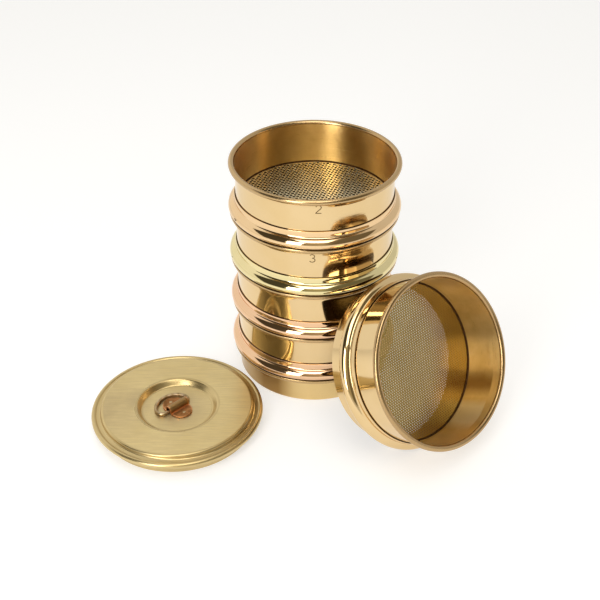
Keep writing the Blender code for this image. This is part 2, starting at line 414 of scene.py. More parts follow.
def spotted(name, dark, light, scale, low, high):
    """Dull metal in spots of two tones, for the walls of holes, painted near black as shade, and for
    stamped lines.
    """
    tree = Tree(name)
    spots = tree.noise(tree.local(), scale, 3)
    tone = tree.mix(tree.span(spots, 0.3, 0.7), dark, light)
    shine = tree.span(spots, 0.3, 0.7, low, high)
    return tree.finish(Base_Color=tone, Metallic=1.0, Roughness=shine)


def lumpy(name, dark, light):
    """Old soft solder."""
    tree = Tree(name)
    lumps = tree.noise(tree.local(), 0.5, 4, 0.6)
    tone = tree.mix(tree.span(lumps, 0.35, 0.65), dark, light)
    normal = tree.bump(lumps, 0.5, 0.0003)
    shine = tree.span(lumps, 0.3, 0.7, 0.4, 0.6)
    return tree.finish(Base_Color=tone, Metallic=1.0, Roughness=shine, Normal=normal)


def aged_copper(name, base, dark, bright):
    """Oxidised copper: brown blotches, with bright edges.

    The bronzed layer makes it browner, and the wear and highlight layer brighter: wear on the
    strap's edges, and painted highlights along its folds and on top of the ring's wire.
    """
    tree = Tree(name)
    at = tree.local()
    blotch = tree.noise(at, 0.22, 5, 0.65, 0.6)
    specks = tree.noise(at, 1.6, 4, 0.7)
    tone = tree.mix(tree.span(blotch, 0.38, 0.62), base, dark)
    tone = tree.mix(tree.span(specks, 0.5, 0.75, 0.0, 0.5), tone, dark)
    tone = tree.mix(tree.layer("bronzed"), tone, BRONZED)
    tone = tree.mix(tree.layer("worn"), tone, bright)
    shine = tree.span(blotch, 0.35, 0.65, 0.30, 0.52)
    normal = tree.bump(specks, 0.25, 0.00015)
    return tree.finish(Base_Color=tone, Metallic=1.0, Roughness=shine, Normal=normal)


POLISHED = polished("polished_brass_wall", colour(0.77, 0.57, 0.305), colour(0.75, 0.545, 0.275))
PAN = polished("tanned_brass_pan", colour(0.79, 0.58, 0.27), colour(0.74, 0.53, 0.23), 0.08)
ROSE = polished("rose_brass_bead", colour(0.84, 0.60, 0.34), colour(0.82, 0.57, 0.31))
GREEN = polished("green_brass_bead", colour(0.83, 0.70, 0.38), colour(0.78, 0.67, 0.35))
COPPERY = polished("coppery_brass_bead", colour(0.84, 0.56, 0.34), colour(0.82, 0.53, 0.32))
SATIN = turned_satin("satin_brass_inside", colour(0.86, 0.575, 0.22), colour(0.66, 0.40, 0.125))
OPEN_SATIN = turned_satin("satin_brass_open", colour(0.86, 0.62, 0.27), colour(0.67, 0.45, 0.165))
PLATE = brushed_plate("brushed_lid_brass", colour(0.83, 0.665, 0.33), colour(0.75, 0.585, 0.27))
EDGE = polished("turned_lid_edge", colour(0.68, 0.53, 0.265), colour(0.60, 0.455, 0.21), 0.24)
SCREEN = screen_sheet("coarse_punched_brass", colour(0.99, 0.93, 0.70), colour(0.95, 0.87, 0.60),
                      colour(0.80, 0.69, 0.42), 0.36)
FINE_SCREEN = screen_sheet("fine_punched_brass", colour(0.50, 0.35, 0.11),
                           colour(0.42, 0.285, 0.08), colour(0.25, 0.16, 0.045), 0.25)
# near black: painted shade inside the beads and skirts
INSIDE_SHADE = turned_satin("brass_inside_painted_shade", colour(0.07, 0.04, 0.014), colour(0.045, 0.025, 0.009))
# near black: painted shade in the holes
HOLE_SHADE = spotted("punched_hole_wall_shade", colour(0.025, 0.012, 0.005), colour(0.06, 0.03, 0.01),
               1.1, 0.4, 0.6)
# old solder, painted near black for the shade in the corner where the sheet meets the wall
SHADED_SOLDER = lumpy("solder_painted_shade", colour(0.035, 0.016, 0.006), colour(0.10, 0.05, 0.02))
STRAP = aged_copper("oxidised_copper", colour(0.51, 0.225, 0.08), colour(0.28, 0.125, 0.04),
                    colour(0.86, 0.42, 0.19))
RING = aged_copper("aged_bronze_wire", colour(0.50, 0.36, 0.19), colour(0.30, 0.20, 0.09),
                   colour(0.78, 0.62, 0.42))
RIVET = polished("rivet_brass", colour(0.62, 0.48, 0.27), colour(0.50, 0.36, 0.18), 0.28)
STAMP = spotted("stamped_figure", colour(0.10, 0.06, 0.025), colour(0.30, 0.20, 0.09),
                2.0, 0.35, 0.55)


# ---------------------------------------------------------------- meshes


def place_object(name, verts, faces, place, materials, slots=None, **layers):
    """A piece from points in local millimetres.

    place is the 4x4 matrix that takes them to the frame's millimetres, and slots has each face's
    material. layers are numbers for each point, which the materials read.
    """
    verts = np.asarray(verts, float)
    turn = np.array(place)
    world = (verts @ turn[:3, :3].T + turn[:3, 3]) * MM
    mesh = bpy.data.meshes.new(name)
    mesh.from_pydata(world.tolist(), [], [list(face) for face in faces])
    for material in materials:
        mesh.materials.append(material)
    if slots is not None:
        mesh.polygons.foreach_set("material_index", np.asarray(slots, np.int32))
    mesh.shade_smooth()
    local = mesh.attributes.new("part_mm", "FLOAT_VECTOR", "POINT")
    local.data.foreach_set("vector", verts.astype(np.float32).ravel())
    for layer, values in layers.items():
        data = mesh.attributes.new(layer, "FLOAT", "POINT")
        data.data.foreach_set("value", np.asarray(values, np.float32))
    obj = bpy.data.objects.new(name, mesh)
    bpy.context.scene.collection.objects.link(obj)
    return obj


def add_brush_uv(obj, around):
    """UVs in metres with U along the brushing: round the axis, or straight along local X."""
    mesh = obj.data
    corners = np.empty(len(mesh.loops), np.int32)
    mesh.loops.foreach_get("vertex_index", corners)
    local = np.empty(len(mesh.vertices) * 3, np.float32)
    mesh.attributes["part_mm"].data.foreach_get("vector", local)
    points = local.reshape(-1, 3)[corners]
    if around:
        turn = np.arctan2(points[:, 1], points[:, 0])
        starts = np.empty(len(mesh.polygons), np.int32)
        totals = np.empty(len(mesh.polygons), np.int32)
        mesh.polygons.foreach_get("loop_start", starts)
        mesh.polygons.foreach_get("loop_total", totals)
        first = np.repeat(turn[starts], totals)
        turn = np.where(turn - first > pi, turn - 2 * pi, turn)
        turn = np.where(turn - first < -pi, turn + 2 * pi, turn)
        uv = np.stack([turn * BRUSH_R * MM, points[:, 2] * MM], -1)
    else:
        uv = points[:, :2] * MM
    layer = mesh.uv_layers.new(name="brush")
    layer.data.foreach_set("uv", uv.astype(np.float32).ravel())


def arc(centre_r, centre_z, half_width, half_height, start, end, count):
    """Points of an elliptical arc between two angles in degrees."""
    angles = np.radians(np.linspace(start, end, count))
    return [(centre_r + half_width * cos(a), centre_z + half_height * sin(a)) for a in angles]


def bend(start, control, end, count):
    """Points of a quadratic curve."""
    curve = []
    for t in np.linspace(0, 1, count):
        a, b, c = (1 - t) ** 2, 2 * t * (1 - t), t ** 2
        curve.append((a * start[0] + b * control[0] + c * end[0],
                      a * start[1] + b * control[1] + c * end[1]))
    return curve


def spread(points, slot=0, grime=0.0):
    """Outline points with the material slot of the span after each, and its grime and painted shade.
    """
    return [(r, z, slot, grime) for r, z in points]


def reflection_patch_layer(verts, painted_reflections):
    """The painted reflection layer: soft patches round an azimuth, where the surface has a certain
    radius; dark reflections, and highlights below zero.
    """
    across = [v[0] for v in verts]
    along = [v[1] for v in verts]
    azimuths = np.degrees(np.arctan2(along, across))
    radii = np.hypot(across, along)
    layer = np.zeros(len(verts))
    for centre, reach, depth, radius in painted_reflections:
        away = ((azimuths - centre + 180) % 360 - 180) / reach
        on_surface = abs(radii - radius) < REFLECTION_PATCH_DEPTH
        layer += depth * on_surface * np.exp(-0.5 * away ** 2)
    return layer


def lathe(name, outline, place, materials, segments=ROUND, marks=(), painted_reflections=()):
    """A closed outline of (radius, height, slot, grime and shade) turned about the local Z axis.

    A slot is for the span that follows the point. marks are small shells that lie on the surface, as
    (points, faces), in the last material. painted_reflections are (azimuth, reach, depth, radius) of
    dark painted reflections, and of painted highlights where the depth is below zero, in degrees,
    a share and millimetres.
    """
    turn = np.linspace(0, 2 * pi, segments, endpoint=False)
    verts = []
    rows = []
    grime = []
    for radius, height, _, dirt_and_shade in outline:
        if radius == 0:
            rows.append(np.full(segments, len(verts)))
            verts.append((0, 0, height))
            grime.append(dirt_and_shade)
            continue
        rows.append(np.arange(len(verts), len(verts) + segments))
        verts.extend(zip(radius * np.cos(turn), radius * np.sin(turn), [height] * segments))
        grime.extend([dirt_and_shade] * segments)
    faces = []
    slots = []
    ends = outline[1:] + outline[:1]
    area = sum(a[0] * b[1] - b[0] * a[1] for a, b in zip(outline, ends))
    order = 1 if area > 0 else -1  # every face is turned outwards
    for row, after, start, end in zip(rows, rows[1:] + rows[:1], outline, ends):
        if start[0] == end[0] == 0:
            continue
        for k in range(segments):
            m = (k + 1) % segments
            corners = list(dict.fromkeys((row[k], row[m], after[m], after[k])))
            faces.append(corners[::order])
            slots.append(start[2])
    for points, shell in marks:
        faces.extend([corner + len(verts) for corner in face] for face in shell)
        slots.extend([len(materials) - 1] * len(shell))
        verts.extend(points)
        grime.extend([0.0] * len(points))
    layers = {"grime": grime}
    if painted_reflections:
        layers["painted_reflection"] = reflection_patch_layer(verts, painted_reflections)
    obj = place_object(name, verts, faces, place, materials, slots, **layers)
    obj.data.set_sharp_from_angle(angle=SHARP)
    return obj


def recalculated(obj):
    """Turns every face outwards."""
    solid = bmesh.new()
    solid.from_mesh(obj.data)
    bmesh.ops.recalc_face_normals(solid, faces=solid.faces)
    solid.to_mesh(obj.data)
    solid.free()
    return obj


def ring_tube(path, radius, sides):
    """Points and faces of a round wire along a flat closed path of local points."""
    path = [Vector(point) for point in path]
    count = len(path)
    verts = []
    faces = []
    up = Vector((0, 0, 1))
    for i, point in enumerate(path):
        along = (path[(i + 1) % count] - path[i - 1]).normalized()
        side = along.cross(up).normalized()
        over = side.cross(along)
        a = i * sides
        b = (i + 1) % count * sides
        for k in range(sides):
            m = (k + 1) % sides
            angle = 2 * pi * k / sides
            verts.append(point + side * radius * cos(angle) + over * radius * sin(angle))
            faces.append((a + k, a + m, b + m, b + k))
    return verts, faces


# ---------------------------------------------------------------- one sieve


def frame_outline(inside_foot, outside_foot, covered, tarnish=RIM_TARNISH):
    """Wall with its rolled rim. Slot 0 is the polished outside, slot 1 the satin inside.

    A rim that is covered by the sieve above it is painted black on its top, as shade and grime under
    that sieve.
    """
    flare = bend((WALL_IN, -8.5), (WALL_IN + 0.2, -3.5), (ROLL_CENTRE - ROLL_R, 0), 8)
    roll = spread(arc(ROLL_CENTRE, 0, ROLL_R, ROLL_R, 180, -118, ROLL_POINTS), 0, tarnish)
    if covered:
        roll[ROLL_TOP] = [(r, z, 0, GAP_SHADE_AND_GRIME) for r, z, _, _ in roll[ROLL_TOP]]
    tuck = [(WALL_OUT + 0.85, -1.9), (WALL_OUT + 0.62, -2.3)]
    neck = outside_flare(8)
    # the end of the curl, the tuck under it and the top of the neck are darkened as painted shade
    # under the roll
    return (inside_foot + spread([(WALL_IN, -10), *flare[:-1]], 1) + roll[:-2]
            + [(r, z, 0, 0.7) for r, z, _, _ in roll[-2:]] + spread(tuck, 0, GAP_SHADE_AND_GRIME)
            + spread(neck[:1], 0, 0.6) + spread([*neck[1:], (WALL_OUT, -14)]) + outside_foot)


def outside_flare(count):
    """Where the outside of the wall opens into the rim."""
    return bend((WALL_OUT + 0.5, FLARE_TOP), (WALL_OUT, -3.4), (WALL_OUT, FLARE_FOOT), count)


def outside_radius(height):
    """Radius of the outside of the wall at a height below the rim."""
    flare = outside_flare(12)[::-1]
    return float(np.interp(height, [z for r, z in flare], [r for r, z in flare]))


def sieve_wall_outline(covered, tarnish):
    # the foot of the inside is darkened as painted shade where the sheet meets it, and the outside
    # under the collar is painted black as shade and grime
    inside = spread([(WALL_IN, WALL_FOOT)], 1, 0.5)
    inside += spread([(WALL_IN, WALL_FOOT + 1.3), (WALL_IN, -16)], 1)
    outside = spread([(WALL_OUT, COLLAR_TOP + 0.4)])
    outside += spread([(WALL_OUT, COLLAR_TOP), (WALL_OUT, WALL_FOOT)], 0, GAP_SHADE_AND_GRIME)
    return frame_outline(inside, outside, covered, tarnish)


def bead_outline():
    """Collar, half-round bead, seat and skirt. Slot 0 is polished, slot 1 the inside, painted dark
    as shade.
    """
    # the lip of the collar, the seat under the bead and the ledge inside are darkened as painted
    # shade and grime in the crevices
    lip = spread([(COLLAR_IN, COLLAR_TOP - 0.5), (COLLAR_IN, COLLAR_TOP - 0.1)], 0, GAP_SHADE_AND_GRIME)
    lip += spread([(COLLAR_IN + 0.3, COLLAR_TOP)], 0, 0.95)
    collar = [(COLLAR_OUT - 0.25, COLLAR_TOP), (COLLAR_OUT - 0.07, COLLAR_TOP - 0.07),
              (COLLAR_OUT, COLLAR_TOP - 0.25), (COLLAR_OUT, COLLAR_TOP - 2.4)]
    swell = arc(BEAD_OUT - SWELL_WIDTH, BEAD_Z, SWELL_WIDTH, SWELL_HEIGHT, 62, 0, 30)
    fillet = swell[0][1] + 0.45
    hollow = bend((COLLAR_OUT, fillet + 0.8), (COLLAR_OUT, fillet), swell[0], 12)
    under = arc(BEAD_OUT - UNDER_WIDTH, BEAD_Z, UNDER_WIDTH, UNDER_HEIGHT, 0, -36.87, 12)
    seat = [(SKIRT_OUT + 2.2, SEAT_Z), (SKIRT_OUT, SEAT_Z)]
    skirt = [(SKIRT_OUT, SEAT_Z - 0.6), (SKIRT_OUT, SKIRT_FOOT + 0.15),
             (SKIRT_OUT - 0.15, SKIRT_FOOT), (SKIRT_IN + 0.15, SKIRT_FOOT)]
    return (lip + spread(collar) + spread(hollow[:-1]) + spread(swell) + spread(under[1:-1])
            + spread(under[-1:] + seat, 0, GAP_SHADE_AND_GRIME) + spread(skirt)
            + spread([(SKIRT_IN, SKIRT_FOOT + 0.15)], 1)
            + spread([(SKIRT_IN, LEDGE_Z), (COLLAR_IN, LEDGE_Z)], 1, 0.8))


def seam_outline():
    """Solder fillet between the sheet and the wall."""
    foot = SCREEN_Z + 0.45
    inner = WALL_IN - 0.9
    outer = WALL_IN - 0.05
    curve = bend((inner, foot + 0.1), (outer - 0.15, foot + 0.15), (outer, foot + 0.85), 5)
    return spread([(inner, foot), *curve, (outer, foot)])


def spoke(radius, angle):
    """A flat vector of the given length and direction."""
    return radius * Vector((cos(angle), sin(angle)))


def cell_points(pitch, turn):
    """Centres of the staggered cells that touch the disc of a screen."""
    one = spoke(pitch, turn)
    other = spoke(pitch, turn + pi / 3)
    count = int(SCREEN_R / pitch * 1.3) + 2
    for i in range(-count, count + 1):
        for j in range(-count, count + 1):
            centre = one * i + other * j
            if centre.length < SCREEN_R + pitch:
                yield centre


def punched_sheet(name, place, pitch, hole_r, turn, sides, thick, metal):
    """A disc of sheet with round holes in staggered rows, made of six-sided cells round the holes.

    Slot 0 is the sheet and slot 1 the walls of the holes. The cells share their corners, and those
    past the rim of the disc are drawn in to it.
    """
    cell_r = pitch / sqrt(3)
    per_side = sides // 6
    flat = []
    found = {}

    def corner(point):
        if point.length > SCREEN_R:
            point = point * (SCREEN_R / point.length)
        key = (round(point.x, 3), round(point.y, 3))
        if key not in found:
            found[key] = len(flat)
            flat.append(point)
        return found[key]

    tops = []
    lips = []
    border = set()
    for centre in cell_points(pitch, turn):
        around = [centre + spoke(cell_r, turn + pi / 6 + k * pi / 3) for k in range(6)]
        if min(point.length for point in around) > SCREEN_R - SLIVER:
            continue
        outer = [corner(point) for point in around]
        border.update((outer[k], outer[(k + 1) % 6]) for k in range(6))
        if centre.length + hole_r + WHOLE_EDGE > SCREEN_R:
            tops.append(list(dict.fromkeys(outer)))
            continue
        rings = []
        for radius in (hole_r * LIP_FLARE, hole_r):
            rings.append([len(flat) + m for m in range(sides)])
            for m in range(sides):
                flat.append(centre + spoke(radius, turn + pi / 6 + 2 * pi * m / sides))
        lips.append(rings)
        for k in range(6):
            inner = [rings[0][m % sides] for m in range((k + 1) * per_side, k * per_side - 1, -1)]
            tops.append([outer[k], outer[(k + 1) % 6], *inner])
    count = len(flat)
    half = thick / 2
    height = np.full(count, half)
    for flare, edge in lips:
        height[edge] = half - LIP_DROP
    faces = list(tops) + [[i + count for i in reversed(face)] for face in tops]
    slots = [0] * len(faces)
    for a, b in sorted(border):
        if a != b and (b, a) not in border:
            faces.append([a, a + count, b + count, b])
            slots.append(0)
    for flare, edge in lips:
        for m in range(sides):
            n = (m + 1) % sides
            faces.append([flare[m], flare[n], edge[n], edge[m]])
            faces.append([edge[m], edge[n], edge[n] + count, edge[m] + count])
            faces.append([edge[m] + count, edge[n] + count, flare[n] + count, flare[m] + count])
            slots.extend([0, 1, 0])
    verts = [(p.x, p.y, SCREEN_Z + h) for p, h in zip(flat, height)]
    verts += [(p.x, p.y, SCREEN_Z - h) for p, h in zip(flat, height)]
    # the edge of the sheet is darkened as painted shade where it meets the wall
    grime = [max(0.0, 1 - (SCREEN_R - p.length) / EDGE_SHADE_WIDTH) for p in flat] * 2
    sheet = place_object(name, verts, faces, place, [metal, HOLE_SHADE], slots, grime=grime)
    sheet.data.set_sharp_from_angle(angle=SHARP)
    return sheet


def stroke(points, half_width):
    """A thin raised line over points given as (azimuth in degrees, radius, height)."""
    path = [Vector((r * cos(radians(a)), r * sin(radians(a)), z)) for a, r, z in points]
    verts = []
    for i, point in enumerate(path):
        out = Vector((point.x, point.y, 0)).normalized()
        along = (path[min(i + 1, len(path) - 1)] - path[max(i - 1, 0)]).normalized()
        side = out.cross(along) * half_width
        for share, lift in STROKE_SECTION:
            verts.append(point + side * share + out * lift)
    faces = [(0, 1, 2, 3), tuple(range(len(verts) - 4, len(verts)))[::-1]]
    for i in range(len(path) - 1):
        for k in range(4):
            m = (k + 1) % 4
            faces.append((4 * i + k, 4 * i + 4 + k, 4 * i + 4 + m, 4 * i + m))
    return verts, faces


def figure(shape, x, top):
    """A stamped figure on the front of a wall. shape holds its strokes in shares of its size."""
    marks = []
    for line in shape:
        points = []
        for across, down in line:
            azimuth = -90 + np.degrees((x + across * FIGURE_WIDTH) / WALL_OUT)
            height = top - down * FIGURE_HEIGHT
            points.append((azimuth, outside_radius(height), height))
        marks.append(stroke(points, FIGURE_STROKE))
    return marks


def pin_mark(azimuth, height, half_width, length):
    """A short slanting mark on the widest line of a bead."""
    return stroke([(azimuth - length, BEAD_OUT, height + length),
                   (azimuth + length, BEAD_OUT, height)], half_width)


def round_line(centre, half_width, half_height, start, end, count):
    """Points of part of an ellipse, with the angle in degrees and down taken as positive."""
    angles = np.radians(np.linspace(start, end, count))
    return [(centre[0] + half_width * cos(a), centre[1] - half_height * sin(a)) for a in angles]


TWO = (round_line((0.0, 0.28), 0.46, 0.28, 165, -35, 9) + [(-0.1, 0.72), (-0.5, 1.0)],
       [(-0.5, 1.0), (0.5, 1.0)])
THREE = (round_line((-0.05, 0.25), 0.42, 0.25, 150, -90, 9)
         + round_line((-0.05, 0.74), 0.5, 0.26, 90, -150, 9),)


def build_sieve(prefix, place, bead_metal, bead_slot, holes, covered=True, tarnish=RIM_TARNISH,
                inside=SATIN, wall_marks=(), bead_marks=(), painted_reflections=()):
    """The four pieces of one sieve. holes is what punched_sheet needs to know."""
    wall = lathe(prefix + "_wall", sieve_wall_outline(covered, tarnish), place,
                 [POLISHED, inside, STAMP], marks=wall_marks, painted_reflections=painted_reflections)
    bead = lathe(prefix + "_bead", bead_outline(), place, [bead_metal, INSIDE_SHADE, STAMP],
                 marks=bead_marks)
    seam = lathe(prefix + "_solder", seam_outline(), place, [SHADED_SOLDER], ROUND // 2)
    sheet = punched_sheet(prefix + "_punched_sheet", place, *holes)
    for piece, node, slot in ((wall, "frame", "polished_brass"),
                              (bead, "bead_ring", bead_slot),
                              (seam, "solder_seam", "solder"),
                              (sheet, "screen", "perforated_brass")):
        add_brush_uv(piece, True)
        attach(piece, prefix)
        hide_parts(f"{prefix}_{node}")


# ---------------------------------------------------------------- pan


def pan_outline():
    base = -PAN_RIM_Z
    floor_top = base + PAN_FLOOR
    inside = spread([(0, floor_top), (30, floor_top),
                     *arc(WALL_IN - 2.6, floor_top + 2.6, 2.6, 2.6, -90, 0, 8)], 1)
    outside = spread([(WALL_OUT, base + 2.6), *arc(WALL_OUT - 2.5, base + 2.5, 2.5, 2.5, 0, -90, 9),
                      (30, base), (0, base)])
    return frame_outline(inside, outside, True)


def build_pan():
    pan = lathe("pan_shell", pan_outline(), stack_place("pan_body"), [PAN, SATIN],
                painted_reflections=PAN_PAINTED_REFLECTIONS)
    add_brush_uv(pan, True)
    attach(pan, "pan")
    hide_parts("pan_body")


# ---------------------------------------------------------------- lid


def lid_outline():
    """Spun plate. Slot 0 is the plate's brushed face, slot 1 the turned rolled edge."""
    recess = [(0, RECESS_Z), (RECESS_R - 1.5, RECESS_Z)]
    step = bend((RECESS_R - 1.2, RECESS_Z), (RECESS_R, RECESS_Z),
                (RECESS_R + 0.5, RECESS_Z + 0.8), 5)
    step += bend((RECESS_MOUTH_R - 0.7, PLATEAU_Z - 0.7), (RECESS_MOUTH_R - 0.1, PLATEAU_Z - 0.02),
                 (RECESS_MOUTH_R + 1.4, PLATEAU_Z), 6)
    plateau = [(36, PLATEAU_Z + 0.05), (PLATEAU_R - 1.6, PLATEAU_Z)]
    edge = bend((PLATEAU_R - 1.2, PLATEAU_Z), (PLATEAU_R + 0.3, PLATEAU_Z),
                (PLATEAU_R + 0.55, PLATEAU_Z - 1.2), 8)
    edge += bend((PLATEAU_R + 0.6, PLATEAU_Z - 1.7), (PLATEAU_R + 0.75, PLATEAU_Z - 2.75),
                 (PLATEAU_R + 1.9, PLATEAU_Z - 2.8), 7)
    edge += [(PLATEAU_R + 2.5, PLATEAU_Z - 2.9), (LID_ROLL_CENTRE - 1.25, PLATEAU_Z - 2.95)]
    roll = arc(LID_ROLL_CENTRE, LID_ROLL_Z, ROLL_R, ROLL_R, 118, -60, 24)
    under = [(LID_ROLL_CENTRE + 0.5, LID_SEAT_Z), (PLATEAU_R + 2.6, LID_SEAT_Z),
             (PLATEAU_R + 2.6, PLATEAU_Z - 3.7), (PLATEAU_R + 0.2, PLATEAU_Z - 3.2),
             (PLATEAU_R - 0.4, PLATEAU_Z - SHEET), (RECESS_MOUTH_R - 0.4, PLATEAU_Z - SHEET),
             (RECESS_R - 0.4, RECESS_Z - SHEET), (0, RECESS_Z - SHEET)]
    return (spread(recess) + spread(step[:-1], 1) + spread(step[-1:] + plateau) + spread(edge, 1)
            + spread(roll, 1, LID_TARNISH) + spread(under))


def plug_outline():
    return spread([(PLUG_IN + 0.2, 0.0), (PLUG_OUT - 0.25, 0.0), (PLUG_OUT - 0.05, 0.15),
                   (PLUG_OUT, 0.5), (PLUG_OUT, PLUG_TOP - 0.2), (PLUG_OUT - 0.2, PLUG_TOP),
                   (PLUG_IN, PLUG_TOP), (PLUG_IN, 0.3)])


def lobe_half_width(s):
    reach = abs(s) - LOBE_CENTRE
    if reach <= 0:
        return STRAP_HALF_WIDTH
    return min(STRAP_HALF_WIDTH, sqrt(max(LOBE_R ** 2 - reach ** 2, LOBE_TIP)))


def strap_line():
    """Points (s, z) along the middle of the strap's sheet."""
    flat = STRAP_BOTTOM + STRAP_THICK / 2
    lobe = [(LOBE_CENTRE + LOBE_R * cos(radians(a)), flat) for a in range(3, 91, 6)]
    lobe += [(3.2, flat), (2.7, flat + 0.03), (2.35, flat + 0.15)]
    over = [(TUNNEL_R, BAR_Z + 0.1)]
    over += [(TUNNEL_R * cos(radians(a)), BAR_Z + HOOP_RISE + TUNNEL_R * sin(radians(a)))
             for a in range(0, 181, 15)]
    over += [(-TUNNEL_R, BAR_Z + 0.1)]
    left = [(-s, z) for s, z in reversed(lobe)]
    return lobe + over + left


def strap_mesh():
    """Sheet with rounded edges, swept along the strap's line."""
    line = [Vector(point) for point in strap_line()]
    half_thick = STRAP_THICK / 2
    verts = []
    worn = []
    bronzed = []
    rows = []
    for i, point in enumerate(line):
        before = line[max(i - 1, 0)]
        after = line[min(i + 1, len(line) - 1)]
        along = (after - before).normalized()
        offset = Vector((-along.y, along.x))
        half = lobe_half_width(point.x)
        ring = []
        at_fold = FOLD_S[0] < abs(point.x) < FOLD_S[1] and point.y < BAR_Z
        for face in (1, -1):
            for c in range(STRAP_COLUMNS + 1):
                share = -face + 2 * face * c / STRAP_COLUMNS
                at_edge = c in (0, STRAP_COLUMNS)
                thin = STRAP_EDGE if at_edge else 1.0
                at = point + offset * half_thick * face * thin
                ring.append(len(verts))
                verts.append((at.x, share * half, at.y))
                # bright: wear on the edges, and a painted highlight along the folds
                worn.append(STRAP_WEAR_AND_HIGHLIGHT if at_edge or at_fold else 0.0)
                bronzed.append(STRAP_BRONZE if point.y > BAR_Z + 0.5 else 0.0)
        rows.append(ring)
    faces = []
    for a, b in zip(rows[:-1], rows[1:]):
        for k in range(len(a)):
            m = (k + 1) % len(a)
            faces.append((a[k], a[m], b[m], b[k]))
    faces.append(tuple(rows[0][::-1]))
    faces.append(tuple(rows[-1]))
    return verts, faces, worn, bronzed


def ring_line():
    """Points (s, d) along the middle of the ring's wire, relative to the bar."""
    corner = [(-RING_CORNER + RING_CORNER * sin(radians(a)),
               BAR_HALF + RING_CORNER * cos(radians(a))) for a in range(90, 0, -10)]
    reach = RING_DEPTH - RING_CORNER
    loop = [(-RING_CORNER - reach * sin(radians(a)), RING_HALF_WIDTH * cos(radians(a)))
            for a in range(0, 181, 5)]
    mirrored = [(s, -d) for s, d in reversed(corner)]
    return corner + loop + mirrored


def rivet_outline():
    """Flat foot under the plate, and a low domed end in the strap."""
    shoulder = RIVET_FOOT + 0.6
    return spread([(0, RIVET_FOOT), (RIVET_FOOT_R - 0.2, RIVET_FOOT),
                   (RIVET_FOOT_R, RIVET_FOOT + 0.2), (RIVET_FOOT_R, shoulder),
                   (RIVET_R, shoulder), (RIVET_R, RIVET_TOP - 0.31),
                   (RIVET_R - 0.08, RIVET_TOP - 0.15), (RIVET_R - 0.35, RIVET_TOP - 0.05),
                   (RIVET_R - 0.75, RIVET_TOP - 0.01), (0, RIVET_TOP)])


def build_lid():
    plate = lathe("lid_cover", lid_outline(), lid_place(), [PLATE, EDGE])
    plug = lathe("lid_plug", plug_outline(), lid_place(), [EDGE])
    for piece, node in ((plate, "lid_plate"), (plug, "lid_plug_ring")):
        add_brush_uv(piece, False)
        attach(piece, "lid")
        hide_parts(node)


def build_strap():
    verts, faces, worn, bronzed = strap_mesh()
    strap = recalculated(place_object("copper_strap", verts, faces, handle_place(), [STRAP],
                                      worn=worn, bronzed=bronzed))
    strap.data.set_sharp_from_angle(angle=STRAP_SHARP)
    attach(strap, "lid")
    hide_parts("ring_strap")


def build_ring():
    path = [(s, d + RING_SHIFT, BAR_Z) for s, d in ring_line()]
    verts, faces = ring_tube(path, WIRE_R, RING_SIDES)
    # painted highlight on the top half of the wire, uneven along it
    worn = [RING_TOP_HIGHLIGHT * (1 + sin(0.7 * point.x + 1.3 * point.y)) * (point.z > BAR_Z)
            for point in verts]
    ring = recalculated(place_object("handle_d_ring", verts, faces, handle_place(), [RING],
                                     worn=worn))
    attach(ring, "handle_ring")
    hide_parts("d_ring")


def build_rivets():
    for side, s in (("left", -RIVET_S), ("right", RIVET_S)):
        place = handle_place() @ Matrix.Translation((s, 0, 0))
        rivet = lathe("rivet_" + side, rivet_outline(), place, [RIVET], RIVET_SIDES)
        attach(rivet, "lid")
        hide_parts("strap_rivet_" + side)


# ---------------------------------------------------------------- build

# azimuth, height, half width and length of the pin marks on two of the beads
GREEN_BEAD_PINS = ((196.0, -29.2, 0.4, 0.3), (344.5, -29.2, 0.4, 0.3))
ROSE_BEAD_PINS = ((206.0, -29.6, 0.28, 0.9), (207.4, -29.0, 0.2, 0.5))

# azimuth, reach, depth and radius of the painted reflections: dark bands, and painted highlights
# below zero, inside the loose sieve, and the reflection of the lid's shadow outside the pan
LOOSE_PAINTED_REFLECTIONS = ((-42, 7, 1.0, WALL_IN), (-67, 8, -1.6, WALL_IN), (6, 16, 0.15, WALL_IN),
                (-18, 7, -0.25, WALL_IN))
PAN_PAINTED_REFLECTIONS = ((-122, 9, 0.80, WALL_OUT), (-139, 20, 0.50, WALL_OUT), (-163, 15, 0.40, WALL_OUT))

# pitch, hole radius, turn of the rows, sides of a hole, thickness, metal
COARSE = (2.57, 0.95, radians(11.6), 12, 1.1, SCREEN)
FINE = (1.66, 0.46, radians(-1.4), 6, 0.54, FINE_SCREEN)
HIDDEN = (2.4, 0.6, radians(20), 6, 0.6, FINE_SCREEN)

build_pan()
build_sieve("sieve_4", stack_place("sieve_4_frame"), COPPERY, "copper_brass", HIDDEN)
build_sieve("sieve_3", stack_place("sieve_3_frame"), COPPERY, "copper_brass", HIDDEN)
build_sieve("sieve_2", stack_place("sieve_2_frame"), GREEN, "green_brass", HIDDEN,
            wall_marks=figure(THREE, x=-1.1, top=-3.9),
            bead_marks=[pin_mark(*pin) for pin in GREEN_BEAD_PINS])
build_sieve("sieve_1", stack_place("sieve_1_frame"), ROSE, "rose_brass", COARSE, covered=False,
            wall_marks=figure(TWO, x=2.3, top=-2.9),
            bead_marks=[pin_mark(*pin) for pin in ROSE_BEAD_PINS])
build_sieve("loose_sieve", loose_place(), POLISHED, "polished_brass", FINE, covered=False,
            tarnish=LOOSE_TARNISH, inside=OPEN_SATIN, painted_reflections=LOOSE_PAINTED_REFLECTIONS)
build_lid()
build_strap()
build_ring()
build_rivets()


# ---------------------------------------------------------------- floor, light and camera

# the stage is in metres
CAMERA_PLACE = Vector((0.0, -0.6555, 0.5051))
CAMERA_DOWN = radians(34.94)
CAMERA_TURN = radians(0.83)
CAMERA_LENS = 70.2  # millimetres
CAMERA_SENSOR = 36.0

